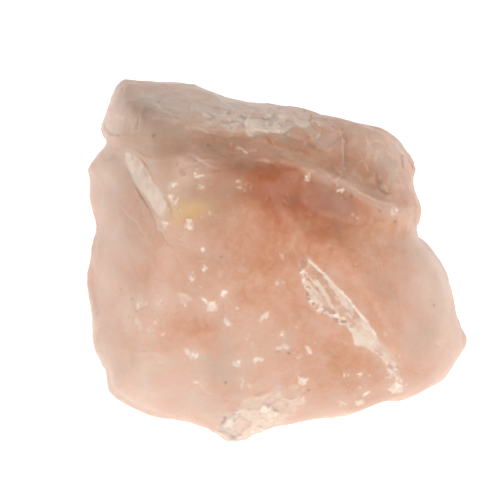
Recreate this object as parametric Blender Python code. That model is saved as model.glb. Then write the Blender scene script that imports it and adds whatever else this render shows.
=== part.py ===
"""A rough chunk of rose quartz, broken out of a larger mass and resting on its flat broken base.

The stone is one solid. It is drawn lying on its back, in millimetres: u runs to the right, v up the
broken face and w out of it. The outline is a closed curve in that plane. The face and the back are
reliefs over it, each made of flat fractures, steps and hollows, and shell-shaped scars are struck off
them. The stone is then tipped up by LEAN and cut off flat, with the origin under its middle.
"""

import math

import bmesh
import bpy
import numpy as np
from mathutils import Vector, noise
from mathutils.geometry import interpolate_bezier

MM = 0.001

# Driving dimensions, in millimetres and degrees.
STONE_WIDTH = 66.0
LEAN = 30.0
BASE_DEPTH = 17.2
FACE_EDGE_POWER = 3.6
BACK_EDGE_POWER = 3.0
FRACTURE_BLEND = 1.6
BACK_BLEND = 3.2
MESH_DIVISIONS = 7
KEPT_SHARE = 0.1

# The widest girdle of the stone, anticlockwise from the right, as a smooth closed curve.
OUTLINE = [
    (28.2, 0.0), (26.3, 2.8), (24.2, 5.2), (25.1, 7.2), (25.2, 9.9), (24.2, 13.9), (24.2, 17.2),
    (22.3, 20.0), (20.1, 22.3), (16.8, 23.3), (10.7, 24.0), (6.4, 24.5), (3.7, 26.1), (-2.9, 26.7),
    (-6.5, 27.6), (-13.4, 30.1), (-18.1, 31.4), (-25.4, 31.3), (-28.0, 30.4), (-29.7, 27.1),
    (-30.8, 23.6), (-29.7, 20.9), (-31.4, 18.8), (-32.7, 16.5), (-33.0, 10.8), (-31.8, 5.6),
    (-33.0, 2.6), (-33.3, -3.5), (-33.0, -10.7), (-32.1, -15.8), (-30.2, -19.3), (-29.7, -22.7),
    (-23.4, -25.9), (-16.0, -27.7), (-11.9, -28.9), (-9.2, -30.5), (-6.6, -30.8), (-3.6, -29.4),
    (0.5, -28.3), (5.9, -27.9), (11.9, -26.4), (17.3, -24.0), (21.5, -23.5), (25.2, -22.8),
    (28.6, -20.7), (31.2, -17.8), (32.7, -14.4), (32.1, -10.4), (31.0, -6.6),
]  # fmt: skip

# The girdle isn't level: it is highest near these two bearings, and lowest between them.
GIRDLE_LEVEL = -3.5
GIRDLE_SWAY = 1.8
GIRDLE_BEARING = 100.0

# Flat fractures, each as (level, slope along u, slope along v) of its height w.
MAIN_FACE = (16.5, 0.10, 0.30)
RIGHT_FACE = (21.3, -0.45, -0.10)
LEFT_FACE = (34.0, 0.90, 0.10)
UPPER_BAND = (31.5, -0.16, -0.78)
LIP_FACE = (30.4, -0.58, -0.55)
TOP_FACET = (50.5, -0.10, -1.52)
CORNER_FACET = (51.5, 1.35, -0.10)
BACK_FRACTURES = [
    (-37.0, 0.06, 0.02),
    (-43.0, -1.10, 0.12),
    (-43.0, 0.92, -0.10),
    (-50.0, 0.15, 1.48),
    (-47.0, -0.60, 0.95),
]

# The ledge: the band above this line stands proud of the right face, which is hollow beneath it.
# The ledge grows out of the crest over the first part of the line.
LEDGE = [(-7.0, 16.6), (2.3, 15.7), (9.2, 12.5), (11.8, 11.1), (17.9, 8.9), (26.0, 5.6)]
LEDGE_RISER = 2.6
HOLLOW_CENTRE = (5.5, 9.5)
HOLLOW_REACH = (9.5, 4.6)
HOLLOW_TURN = -22.0
HOLLOW_DEPTH = 2.6

# The step beside the left edge, and the long splinter scar down the middle of the face: each runs
# from a start to an end. The step drops away to its left and levels out again over STEP_RETURN.
STEP_LINE = ((-26.5, 20.0), (-17.0, 3.5))
STEP_WIDTH = 2.4
STEP_DROP = 1.4
STEP_RETURN = 9.0
STEP_RUN_IN = 0.35
SPLINTER_LINE = ((3.2, 4.6), (23.0, -22.5))
SPLINTER_WIDTH = 6.0
SPLINTER_DEPTH = 1.0
SPLINTER_RUN_IN = 0.25

# Shell-shaped scars, each a ball that took its share of the stone: (centre, radius).
SCARS = [
    ((-1.0, -35.5, 15.5), 12.5),
    ((10.0, -44.0, -22.0), 22.0),
    ((45.0, 12.0, -22.0), 22.0),
    ((4.0, 48.0, -24.0), 23.0),
    ((-45.0, 14.0, -26.0), 20.0),
    ((31.0, 26.0, 16.0), 13.0),
]
SCAR_BLEND = 0.04
CORE = (0.0, -2.0, -8.0)

# Natural unevenness of the broken surface: (wavelength, height).
UNEVENNESS = [(17.0, 0.9), (7.0, 0.45), (3.2, 0.16)]


def height(fracture, u, v):
    level, along_u, along_v = fracture
    return level + along_u * u + along_v * v


def smooth_min(a, b, blend=FRACTURE_BLEND):
    """The lower of two heights, rounded where they meet."""
    share = np.clip(0.5 + 0.5 * (b - a) / blend, 0.0, 1.0)
    return b + (a - b) * share - blend * share * (1.0 - share)


def smooth_step(x):
    x = np.clip(x, 0.0, 1.0)
    return x * x * (3.0 - 2.0 * x)


def closed_curve(points, steps=12):
    """Points along a smooth closed curve through the given ones."""
    knots = [Vector(p) for p in points]
    count = len(knots)
    made = []
    for i in range(count):
        before, start, end, after = (knots[(i + k) % count] for k in (-1, 0, 1, 2))
        out_handle = start + (end - before) / 6.0
        in_handle = end - (after - start) / 6.0
        made += interpolate_bezier(start, out_handle, in_handle, end, steps)[:-1]
    return np.array(made)


def girdle_radius(bearing):
    """Distance from the drawing origin to the outline at each bearing, in radians."""
    curve = closed_curve(OUTLINE)
    bearings = np.arctan2(curve[:, 1], curve[:, 0])
    order = np.argsort(bearings)
    radii = np.hypot(curve[:, 0], curve[:, 1])
    return np.interp(bearing, bearings[order], radii[order], period=2.0 * math.pi)


def along_line(line, u, v):
    """How far along a line each point lies, from 0 to 1, and how far it is to the line's left."""
    (u0, v0), (u1, v1) = line
    length = math.hypot(u1 - u0, v1 - v0)
    du, dv = (u1 - u0) / length, (v1 - v0) / length
    share = ((u - u0) * du + (v - v0) * dv) / length
    return share, (v - v0) * du - (u - u0) * dv


def fade(share, run_in):
    """1 along the middle of a line and 0 past its ends."""
    return smooth_step(share / run_in) * smooth_step((1.0 - share) / run_in)


def face_height(u, v):
    upper = smooth_min(height(MAIN_FACE, u, v), height(UPPER_BAND, u, v))
    for fracture in (LIP_FACE, LEFT_FACE, TOP_FACET, CORNER_FACET):
        upper = smooth_min(upper, height(fracture, u, v))

    turn = math.radians(HOLLOW_TURN)
    du, dv = u - HOLLOW_CENTRE[0], v - HOLLOW_CENTRE[1]
    across = (du * math.cos(turn) + dv * math.sin(turn)) / HOLLOW_REACH[0]
    up = (dv * math.cos(turn) - du * math.sin(turn)) / HOLLOW_REACH[1]
    hollow = HOLLOW_DEPTH * np.exp(-(across**2) - up**2)
    lower = smooth_min(upper, height(RIGHT_FACE, u, v) - hollow)
    ledge_v = np.interp(u, *zip(*LEDGE))
    surface = upper + (lower - upper) * smooth_step((ledge_v - v) / LEDGE_RISER + 0.5)

    share, left = along_line(STEP_LINE, u, v)
    fallen = smooth_step(0.5 - left / STEP_WIDTH) * smooth_step(1.0 + left / STEP_RETURN)
    surface -= STEP_DROP * fade(share, STEP_RUN_IN) * fallen

    share, left = along_line(SPLINTER_LINE, u, v)
    trough = 1.0 - (2.0 * left / SPLINTER_WIDTH) ** 2
    return surface - SPLINTER_DEPTH * fade(share, SPLINTER_RUN_IN) * smooth_step(trough)


def back_height(u, v):
    heights = [height(fracture, u, v) for fracture in BACK_FRACTURES]
    deepest = -heights[0]
    for one in heights[1:]:
        deepest = smooth_min(deepest, -one, BACK_BLEND)
    return -deepest


def relief(directions):
    """Unit directions laid onto the stone's girdle, face and back, as points (u, v, w)."""
    x, y, z = directions.T
    bearing = np.arctan2(y, x)
    share = np.minimum(np.hypot(x, y), 1.0)
    reach = girdle_radius(bearing) * share
    u, v = reach * np.cos(bearing), reach * np.sin(bearing)
    girdle = GIRDLE_LEVEL + GIRDLE_SWAY * np.cos(2.0 * (bearing - math.radians(GIRDLE_BEARING)))
    power = np.where(z >= 0.0, FACE_EDGE_POWER, BACK_EDGE_POWER)
    fullness = (1.0 - share**power) ** (1.0 / power)
    surface = np.where(z >= 0.0, face_height(u, v), back_height(u, v))
    return np.column_stack([u, v, girdle + (surface - girdle) * fullness])


def strike_scars(points):
    """Moves what lies inside each scar's ball back along its ray from the core, onto the ball.

    A ray meets the ball where a quadratic in its share of the way to the surface is zero, and
    misses it where that has no root ahead of the core.
    """
    core = np.array(CORE)
    rays = points - core
    kept = np.ones(len(points))
    missed = 2.0
    for centre, radius in SCARS:
        to_core = core - np.array(centre)
        a = (rays**2).sum(axis=1)
        b = rays @ to_core
        c = to_core @ to_core - radius**2
        root = np.sqrt(np.maximum(b * b - a * c, 0.0))
        entry = np.where(b * b > a * c, (-b - root) / a, missed)
        kept = smooth_min(kept, np.where(entry > 0.0, entry, missed), SCAR_BLEND)
    return core + rays * kept[:, None]


def roughen(points):
    """Pushes each point in or out along its ray from the core by smooth, repeatable noise."""
    rays = points - np.array(CORE)
    lengths = np.linalg.norm(rays, axis=1)
    offset = np.zeros(len(points))
    for wavelength, size in UNEVENNESS:
        offset += [size * noise.noise(Vector(p) / wavelength) for p in points]
    return points + rays * (offset / lengths)[:, None]


def quartz_material():
    material = bpy.data.materials.new("rose_quartz")
    material.use_nodes = True
    shader = material.node_tree.nodes["Principled BSDF"]
    shader.inputs["Base Color"].default_value = (0.66, 0.40, 0.30, 1.0)
    shader.inputs["Metallic"].default_value = 0.0
    shader.inputs["Roughness"].default_value = 0.35
    shader.inputs["Subsurface Weight"].default_value = 0.6
    return material


def stone_mesh():
    """The whole stone in metres, standing as it rests, with its base level at z = 0."""
    shape = bmesh.new()
    bmesh.ops.create_icosphere(shape, subdivisions=MESH_DIVISIONS, radius=1.0)
    directions = np.array([vertex.co for vertex in shape.verts])
    directions /= np.linalg.norm(directions, axis=1)[:, None]
    points = roughen(strike_scars(relief(directions)))
    points *= STONE_WIDTH / np.ptp(points[:, 0])

    lean = math.radians(LEAN)
    u, v, w = points.T
    y = v * math.cos(lean) - w * math.sin(lean)
    z = v * math.sin(lean) + w * math.cos(lean) + BASE_DEPTH
    standing = np.column_stack([u, y, z])
    middle = (standing.min(axis=0) + standing.max(axis=0)) / 2.0
    standing[:, :2] -= middle[:2]
    for vertex, place in zip(shape.verts, standing * MM):
        vertex.co = place
    mesh = bpy.data.meshes.new("rose_quartz_chunk")
    shape.to_mesh(mesh)
    shape.free()
    return mesh


def base_cutter():
    """A block that reaches up to z = 0, to break the stone off flat there."""
    side = 2.0 * STONE_WIDTH * MM
    shape = bmesh.new()
    bmesh.ops.create_cube(shape, size=side)
    bmesh.ops.translate(shape, verts=shape.verts, vec=(0.0, 0.0, -side / 2.0))
    mesh = bpy.data.meshes.new("base_cutter")
    shape.to_mesh(mesh)
    shape.free()
    cutter = bpy.data.objects.new("base_cutter", mesh)
    cutter.hide_render = True
    cutter.display_type = "WIRE"
    bpy.context.collection.objects.link(cutter)
    return cutter


def main():
    for old in list(bpy.data.objects):
        bpy.data.objects.remove(old, do_unlink=True)
    stone = bpy.data.objects.new("rose_quartz_chunk", stone_mesh())
    bpy.context.collection.objects.link(stone)
    stone.data.materials.append(quartz_material())
    stone.data.shade_smooth()

    fewer = stone.modifiers.new("fewer_faces", "DECIMATE")
    fewer.ratio = KEPT_SHARE
    base = stone.modifiers.new("flat_base", "BOOLEAN")
    base.operation = "DIFFERENCE"
    base.object = base_cutter()


main()
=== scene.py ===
"""Looks of a rough rose quartz chunk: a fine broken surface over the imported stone, cloudy translucent
quartz with frosted chips and scars, a pale floor, soft studio light and a camera."""

import math

import bmesh
import bpy
import numpy as np
from mathutils import Matrix, Vector, noise
from mathutils.bvhtree import BVHTree


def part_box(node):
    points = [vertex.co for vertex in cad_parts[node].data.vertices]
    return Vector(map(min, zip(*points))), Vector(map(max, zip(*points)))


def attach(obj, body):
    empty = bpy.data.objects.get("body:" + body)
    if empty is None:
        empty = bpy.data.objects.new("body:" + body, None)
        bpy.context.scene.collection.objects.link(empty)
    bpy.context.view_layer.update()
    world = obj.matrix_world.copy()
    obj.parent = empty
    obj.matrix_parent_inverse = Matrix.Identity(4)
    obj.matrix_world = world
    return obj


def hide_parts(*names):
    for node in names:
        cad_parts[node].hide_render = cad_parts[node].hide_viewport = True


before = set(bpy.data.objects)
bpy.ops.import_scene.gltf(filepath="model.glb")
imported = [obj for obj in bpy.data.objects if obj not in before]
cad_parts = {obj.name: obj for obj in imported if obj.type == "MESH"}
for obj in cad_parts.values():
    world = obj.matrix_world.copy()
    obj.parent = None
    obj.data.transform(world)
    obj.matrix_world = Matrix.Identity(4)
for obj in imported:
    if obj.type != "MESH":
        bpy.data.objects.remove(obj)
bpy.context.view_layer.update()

NODE = "rose_quartz_chunk"
MM = 0.001

# The broad broken face leans back by LEAN. Its own frame, in millimetres, has u to the right, v up the
# face and w out of it, and starts in the middle of the stone, this high above the floor.
LEAN = math.radians(30.0)
FACE_START = 17.2
UP_THE_FACE = (0.0, math.cos(LEAN), math.sin(LEAN))
OUT_OF_FACE = (0.0, -math.sin(LEAN), math.cos(LEAN))

# The fine surface is made on a grid of GRID millimetres and smoothed EVEN_OUT times. Its edges are cut
# in three on the broad face: above FINE_LEVEL in w, where it looks out of the face by more than FACING.
GRID = 0.82
EVEN_OUT = 4
EVEN_FACTOR = 0.5
CUTS_ON_FACE = 2
FINE_LEVEL = 0.0
FACING = 0.2

# Wavelengths of the noise that roughens lines, makes them ragged and bends them, in millimetres.
ROUGH_WAVE = 0.9
RAGGED_WAVE = 1.5
WARP_WAVE = 6.0

# The thickness of the quartz, in millimetres: it is measured from START_INSIDE under the surface, along
# ways that lean sideways by WAY_LEAN for each 1 straight in, is MOST_QUARTZ at most and is averaged
# THICKNESS_SOFTENING times. Quartz of THICK_QUARTZ has 63 percent of the richness THICK_RICHNESS.
START_INSIDE = 0.6
WAY_LEAN = 1.5
MOST_QUARTZ = 40.0
THICKNESS_SOFTENING = 40
THICK_QUARTZ = 13.0
THICK_RICHNESS = 0.80

# The ledge under the upper band, as (u, v) from its left end to the notch at the right. In millimetres,
# its edge is LEDGE_EDGE wide, stands out by up to 0.6 of LEDGE_HEIGHT and is undercut by as much.
LEDGE = [(-9.0, 16.4), (-4.7, 17.2), (-0.6, 16.2), (3.6, 14.7), (6.9, 13.4), (11.0, 11.4), (15.1, 9.9),
         (19.2, 7.9), (22.0, 5.8)]
LEDGE_EDGE = 1.0
LEDGE_HEIGHT = 0.08
LEDGE_FROM = -6.0
LEDGE_TO = 24.0

# Where the frosted crust, the folds and the broken corner lie: (u, v, reach along, reach across, turn).
CRUST = (-2.2, 22.8, 11.5, 2.8, -7.0)
FOLDS = (15.0, 16.5, 9.0, 5.5, -30.0)
CORNER = (-3.0, -26.4, 8.4, 3.4, 30.0)

# The stone's top edge starts here in v, and is worn white, with a painted highlight on its edges.
TOP_EDGE = 20.0

# The broad waves: height and wavelength.
WAVES = [(0.26, 9.0), (0.10, 3.5)]

# Sizes of the broken cells on each part, along three axes, in millimetres.
BACK_CELLS = (8.0, 4.5, 8.0)
BACK_SMALL_CELLS = (2.6, 1.6, 2.6)
BAND_CELLS = (7.0, 3.4, 9.0)
SCALLOPS = (3.0, 1.5, 6.0)
FLAKES = (1.3, 0.7, 3.0)
SCAR_CELLS = (2.0, 1.4, 2.0)
SCAR_CRUMBS = (0.9, 0.7, 0.9)
SCAR_STREAKS = (5.0, 0.45, 4.0)
CORNER_CELLS = (3.2, 2.6, 3.2)
CORNER_CRUMBS = (0.9, 0.8, 0.9)

# The broad face is evened out by SOFTENING rounds of averaging: by FACE_SOFTENING all over, and by more
# in these places, as (u, v, reach along, reach across, turn in degrees, amount).
SOFTENING = 60
FACE_SOFTENING = 0.35
SOFTER = [
    (14.5, 8.0, 9.0, 4.0, -24.0, 0.70),
    (2.0, 5.0, 6.0, 5.0, -40.0, 0.50),
    (24.0, 2.0, 5.0, 6.0, 0.0, 0.40),
]

# Where the wall of the hollow under the ledge is evened out by more rounds, in the same form.
DEEP_SOFTENING = 240
SOFTEST = [(9.4, 9.2, 6.5, 3.0, -24.0, 1.0)]

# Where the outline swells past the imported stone's flat facets, in the same form, by millimetres.
SWELLINGS = [
    (27.5, -1.5, 5.0, 7.5, 0.0, 0.75),
    (-29.0, 16.0, 3.5, 3.5, 0.0, 0.60),
    (29.0, -20.0, 4.0, 4.0, 0.0, 0.35),
]

# The upper band's crest, as (u, v): frosted crust above it, smooth warm quartz below it.
CREST = [(-22.2, 23.5), (-17.2, 22.7), (-13.9, 21.5), (-11.2, 21.2), (-8.6, 20.2), (-6.3, 20.9),
         (-3.3, 22.0), (-1.3, 21.7), (0.9, 21.2), (3.7, 22.0)]

# The splinter scar runs down the face from SCAR_START to SCAR_END. Its two edges are given as
# (distance down the scar, distance to its right as the face is looked at). Its lower part is white, and
# then its tail is broken up.
SCAR_START = (4.2, 0.6)
SCAR_END = (20.8, -18.6)
SCAR_LEFT = [(0.0, -0.6), (2.0, -2.1), (5.7, -4.0), (8.5, -4.2), (11.2, -2.8), (12.8, -2.1),
             (14.5, -2.1), (16.6, -2.8), (18.6, -1.7), (21.0, -1.0), (25.4, -0.7)]
SCAR_RIGHT = [(0.0, 0.3), (5.6, 0.8), (10.3, 1.2), (16.0, 0.95), (18.5, 0.55), (25.4, 0.5)]
SCAR_DEPTH = 0.38
SCAR_RIM = 0.18
SCAR_WHITE_FROM = 13.0
SCAR_WHITE_TO = 21.0
SCAR_TAIL_FROM = 20.0

# The pale leaf-shaped facet beside the left edge, given in the same way.
LEAF_START = (-25.2, 18.2)
LEAF_END = (-17.9, 5.7)
LEAF_LEFT = [(0.0, -0.2), (1.2, -0.9), (2.2, -1.2), (5.1, -1.5), (8.7, -1.0), (12.2, -0.6),
             (14.5, -0.3)]
LEAF_RIGHT = [(0.0, 0.2), (1.0, 0.6), (2.1, 1.1), (6.5, 1.15), (9.0, 1.4), (11.0, 1.4), (13.3, 0.8),
              (14.5, 0.3)]
LEAF_DEPTH = 0.35

# Chips and percussion marks on the broad face: (u, v, half length, half width, turn, depth, frost).
CHIPS = [
    (-14.6, 5.9, 1.0, 0.6, -60.0, 0.35, 0.9),
    (-17.3, 12.2, 0.45, 0.4, 0.0, 0.3, 1.0),
    (-17.6, 10.4, 0.6, 0.5, 60.0, 0.3, 1.0),
    (-16.6, 9.6, 0.9, 0.3, 70.0, 0.2, 0.7),
    (-18.6, 5.9, 0.9, 0.35, -60.0, 0.2, 0.8),
    (-12.3, 1.8, 0.4, 0.3, 0.0, 0.2, 0.9),
    (-12.0, -1.2, 0.7, 0.3, 80.0, 0.2, 0.9),
    (-14.4, -2.8, 0.5, 0.3, 40.0, 0.2, 0.8),
    (-9.6, -2.0, 0.9, 0.7, 0.0, 0.15, 0.4),
    (-8.9, -5.4, 0.7, 0.45, -70.0, 0.3, 1.0),
    (-12.0, -6.6, 0.5, 0.2, -40.0, 0.2, 0.8),
    (-10.9, -7.8, 0.85, 0.75, 10.0, 0.35, 1.0),
    (-8.3, -10.2, 1.2, 0.5, -60.0, 0.35, 1.0),
    (-15.6, -6.3, 1.6, 0.8, -25.0, 0.3, 0.75),
    (-22.8, -7.0, 1.2, 1.0, 40.0, 0.3, 0.65),
    (-23.2, -10.8, 1.4, 0.5, -70.0, 0.25, 0.6),
    (-19.4, -6.8, 0.5, 0.35, 60.0, 0.2, 0.6),
    (-20.0, -10.2, 0.7, 0.5, 0.0, 0.25, 0.6),
    (-21.0, -11.6, 0.9, 0.5, 30.0, 0.2, 0.5),
    (-19.2, -12.3, 0.4, 0.3, 0.0, 0.2, 0.7),
    (-14.8, -15.6, 1.2, 0.45, -50.0, 0.25, 0.8),
    (-13.6, -15.9, 0.6, 0.25, 0.0, 0.2, 0.8),
    (-20.2, -16.4, 1.1, 0.5, -50.0, 0.25, 0.5),
    (-6.7, -17.3, 0.7, 0.6, 0.0, 0.3, 0.8),
    (-3.1, -16.6, 0.9, 0.35, 10.0, 0.25, 0.9),
    (-5.9, -20.2, 0.9, 0.25, -60.0, 0.2, 0.7),
    (-4.6, -21.2, 0.7, 0.2, -50.0, 0.15, 0.6),
    (-2.2, -9.2, 1.1, 0.3, 55.0, 0.2, 0.8),
    (-4.8, -12.4, 0.9, 0.35, 70.0, 0.2, 0.6),
    (-3.2, -3.4, 0.8, 0.5, -40.0, 0.2, 0.4),
    (0.9, -14.4, 1.0, 0.6, 10.0, 0.35, 0.7),
    (1.0, -12.2, 0.9, 0.3, 80.0, 0.2, 0.7),
    (0.0, -3.8, 0.5, 0.25, 60.0, 0.2, 0.6),
    (5.4, -14.8, 0.9, 0.35, -45.0, 0.25, 0.8),
    (3.6, -16.2, 0.5, 0.3, 60.0, 0.2, 0.6),
    (4.3, -20.3, 0.9, 0.5, -40.0, 0.35, 0.9),
    (-13.6, -20.6, 0.55, 0.3, 20.0, 0.2, 0.7),
    (0.9, 0.6, 1.1, 0.3, -50.0, 0.2, 0.5),
    (18.4, -12.0, 0.5, 0.5, 0.0, 0.2, 0.4),
    (16.0, -13.6, 0.5, 0.25, -60.0, 0.2, 0.6),
    (18.9, -19.6, 0.5, 0.3, 0.0, 0.2, 0.6),
    (18.6, -16.6, 0.9, 0.6, -50.0, 0.30, 0.8),
    (19.6, -18.6, 1.0, 0.7, -60.0, 0.30, 0.8),
    (20.5, -20.2, 0.8, 0.6, 20.0, 0.30, 0.7),
    (20.3, -21.8, 1.1, 0.8, -30.0, 0.35, 0.9),
    (15.2, -22.4, 0.7, 0.35, 50.0, 0.3, 0.8),
    (14.6, -24.0, 1.1, 0.45, 10.0, 0.3, 0.8),
    (11.0, -24.0, 1.0, 0.3, -25.0, 0.2, 0.7),
    (11.9, -19.0, 0.25, 0.25, 0.0, 0.1, 0.9),
    (14.1, -19.0, 0.25, 0.25, 0.0, 0.1, 0.9),
    (5.0, 13.5, 0.7, 0.7, 0.0, 0.35, 0.9),
    (11.1, 11.2, 0.45, 0.35, 0.0, 0.3, 0.9),
    (12.5, 7.6, 0.4, 0.3, 0.0, 0.2, 0.6),
    (-12.9, 13.6, 0.8, 0.2, 15.0, 0.2, 0.9),
    (-12.3, 11.9, 0.4, 0.3, 0.0, 0.2, 0.6),
    (-11.2, 7.8, 0.35, 0.3, 0.0, 0.2, 0.6),
    (-6.3, 12.8, 0.6, 0.25, 0.0, 0.2, 0.6),
    (-6.3, 11.9, 0.6, 0.2, 0.0, 0.2, 0.6),
    (20.0, 8.0, 0.6, 0.8, 20.0, 0.3, 0.7),
    (-4.2, 21.4, 0.9, 0.6, 10.0, 0.3, 0.7),
    (-3.4, 24.2, 0.8, 0.5, 0.0, 0.3, 0.5),
    (3.9, 22.4, 1.0, 0.4, -20.0, 0.25, 0.5),
]
# A chip has CHIP_SIDES flat facets. They cut into its outline, so it is drawn larger than it is listed,
# and shallower. SPLINTERS little ones lie around each listed chip, and STREWN_CHIPS lie anywhere.
CHIP_SIDES = 5
CHIP_LONGER = 1.5
CHIP_WIDER = 1.8
CHIP_SHALLOWER = 0.5
CHIP_SEED = 5
SPLINTERS = 3
SPLINTER_DEPTH = 0.10
STREWN_CHIPS = 260
STREWN_SEED = 11

# Small fracture steps: (points, drop to the right of the line, frost, painted shadow below it). The edge
# of a step is STEP_WIDTH wide, the drop fades over STEP_REACH, and STEP_SHARE of a listed drop is used.
STEPS = [
    (CREST[:5], 0.60, 0.45, 0.0),
    ([(-8.6, 20.2), (-7.6, 20.4), (-6.3, 20.9), (-4.8, 21.3), (-3.3, 22.0), (-1.3, 21.7), (0.9, 21.2),
      (2.2, 21.9), (3.7, 22.0)], 0.80, 0.75, 0.0),
    ([(-8.8, 20.2), (-7.8, 19.0), (-6.4, 18.2), (-4.8, 17.8), (-3.2, 18.3)], 0.60, 0.60, 0.0),
    ([(-1.4, 20.2), (-0.2, 18.8), (0.9, 17.6), (2.2, 16.8), (3.8, 16.4)], 0.60, 0.60, 0.0),
    ([(-11.6, 19.4), (-9.6, 18.6), (-7.6, 17.0)], 0.40, 0.35, 0.0),
    ([(4.6, 21.2), (5.6, 19.6), (7.4, 18.4), (9.4, 17.9)], 0.45, 0.45, 0.0),
    ([(-15.6, 17.4), (-13.2, 16.4), (-11.0, 15.2), (-8.8, 15.0)], 0.45, 0.40, 0.0),
    ([(0.6, 21.3), (2.4, 20.3), (4.4, 19.6)], 0.6, 0.6, 0.10),
    ([(8.0, 22.1), (6.5, 20.1), (5.4, 19.5)], -0.5, 0.45, 0.0),
    ([(6.5, 21.3), (5.5, 19.8), (4.4, 18.8)], -0.45, 0.35, 0.0),
    ([(-4.2, 16.4), (-2.4, 16.3), (-0.4, 15.8), (0.9, 15.0)], 0.4, 0.40, 0.0),
    ([(11.0, 22.4), (11.2, 18.3), (10.6, 14.9)], -0.5, 0.0, 0.20),
    ([(9.0, 16.2), (9.8, 15.0), (10.4, 13.7)], 0.5, 0.45, 0.15),
    ([(16.6, 14.3), (18.1, 12.4), (19.0, 10.8)], 0.5, 0.0, 0.45),
    ([(17.7, 19.0), (19.1, 18.2), (20.8, 17.0)], 0.45, 0.55, 0.0),
    ([(15.6, 20.4), (17.7, 19.8), (19.4, 18.3)], 0.4, 0.35, 0.0),
    ([(-15.6, 15.0), (-13.4, 15.7), (-11.6, 16.2), (-10.0, 15.6)], 0.35, 0.25, 0.0),
    ([(-24.4, 29.4), (-22.4, 28.2), (-20.7, 27.1), (-19.9, 26.1), (-18.5, 24.1), (-16.6, 22.9)],
     -0.70, 0.30, 0.0),
    ([(-24.0, 25.9), (-22.2, 25.1)], 0.3, 0.6, 0.0),
    ([(-11.9, 23.6), (-9.5, 22.9), (-7.3, 23.3), (-5.0, 22.9)], 0.5, 0.25, 0.25),
    ([(-4.2, 24.8), (-2.2, 24.0), (-0.6, 24.4), (1.6, 23.4), (3.4, 22.6)], 0.5, 0.45, 0.15),
    ([(-9.0, 18.2), (-7.0, 17.4), (-5.6, 17.6)], 0.35, 0.2, 0.0),
    ([(-14.4, 19.8), (-12.6, 20.2), (-10.4, 19.6), (-8.4, 18.9)], 0.4, 0.1, 0.0),
    ([(3.0, 18.6), (5.0, 17.6), (7.6, 17.8)], 0.35, 0.15, 0.0),
    ([(12.6, 19.2), (14.4, 17.0), (15.4, 14.2)], -0.35, 0.1, 0.0),
    ([(13.0, 15.2), (15.4, 13.6), (17.2, 13.2)], 0.3, 0.15, 0.0),
    ([(19.4, 15.6), (21.2, 13.4), (22.0, 10.4)], -0.4, 0.2, 0.0),
    ([(-7.7, -6.0), (-8.3, -8.1), (-9.0, -10.1), (-9.8, -12.2), (-10.6, -13.9)], 0.25, 0.15, 0.0),
    ([(-26.8, 9.4), (-23.6, 6.2), (-20.6, 1.6)], 0.15, 0.0, 0.0),
    ([(-20.4, 8.6), (-19.6, 5.0), (-17.6, 3.0)], 0.3, 0.15, 0.10),
    ([(8.6, -16.2), (13.0, -17.4), (16.4, -19.6)], 0.15, 0.0, 0.0),
    ([(-0.6, -19.4), (2.6, -18.2), (5.6, -18.8)], 0.15, 0.1, 0.0),
    ([(12.2, 2.4), (15.6, 0.6), (18.4, -3.4)], 0.15, 0.0, 0.0),
    ([(-16.0, -18.6), (-11.6, -22.2), (-7.6, -23.6)], 0.15, 0.0, 0.0),
]
STEP_WIDTH = 0.35
STEP_REACH = 2.2
STEP_SHARE = 0.7

# Thin cracks and folds, as (points, half width, depth, darkness). The darkness is the crack's dark line
# with painted shade in it.
CREASES = [
    ([(-22.8, 17.4), (-21.0, 14.6), (-19.6, 11.6), (-18.0, 9.2), (-17.4, 6.8)], 0.25, 0.30, 0.30),
    ([(-25.4, 15.6), (-24.3, 12.8), (-22.2, 10.0), (-20.0, 7.0)], 0.25, 0.25, 0.25),
    ([(-20.6, 8.4), (-19.8, 5.6), (-18.8, 3.4)], 0.30, 0.20, 0.25),
    ([(-23.2, 24.0), (-23.4, 21.6)], 0.40, 0.30, 0.45),
    ([(5.6, -0.6), (7.0, -1.8), (8.6, -3.8)], 0.18, 0.20, 0.45),
    ([(-0.4, -15.2), (1.6, -14.7), (3.2, -14.9)], 0.25, 0.25, 0.45),
    ([(-24.8, 16.4), (-24.0, 17.6)], 0.35, 0.25, 0.40),
]
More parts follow.
